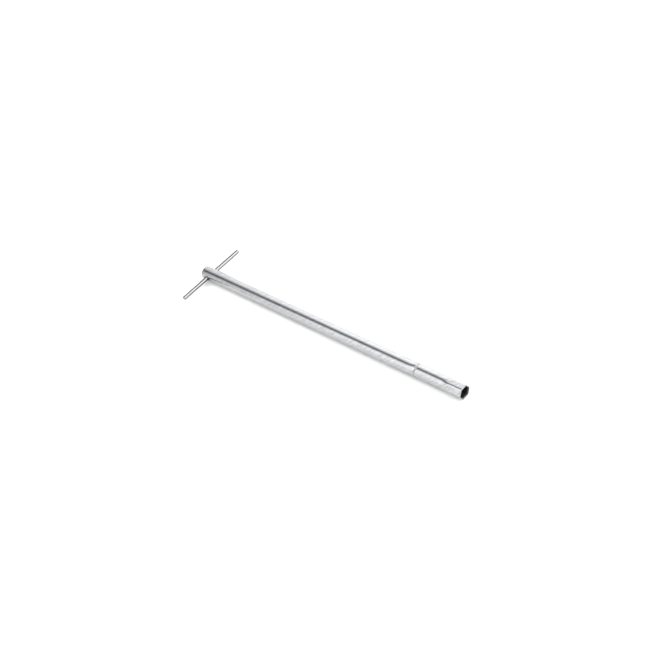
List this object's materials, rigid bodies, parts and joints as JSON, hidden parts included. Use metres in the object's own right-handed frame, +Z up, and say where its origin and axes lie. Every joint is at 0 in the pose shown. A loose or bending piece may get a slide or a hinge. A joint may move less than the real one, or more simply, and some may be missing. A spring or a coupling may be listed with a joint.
{
  "type": "tap box spanner",
  "caption": "Long slim tubular box spanner for tap back-nuts: round steel shank, pressed hexagon socket and a loose tommy bar through the head.",
  "frame": {"origin": "middle of the box's base, on the surface that the tool lies on, under the tube's axis", "axes": "+X along the tube towards the socket's mouth, +Y along the tommy bar, +Z up"},
  "size_m": [0.396, 0.096, 0.016],
  "materials": {
    "shank": "bright plated drawn steel tube",
    "socket": "bright plated pressed steel tube",
    "bar": "bright plated cold-drawn rod"
  },
  "bodies": {
    "spanner": {"shank_tube": "shank", "hex_socket": "socket"},
    "tommy_bar": {"tommy_bar": "bar"}
  },
  "joints": [
    {"name": "bar_slide", "type": "slide", "parent": "spanner", "child": "tommy_bar", "axis": [0, 1, 0], "range_m": [-0.04, 0.04]}
  ]
}
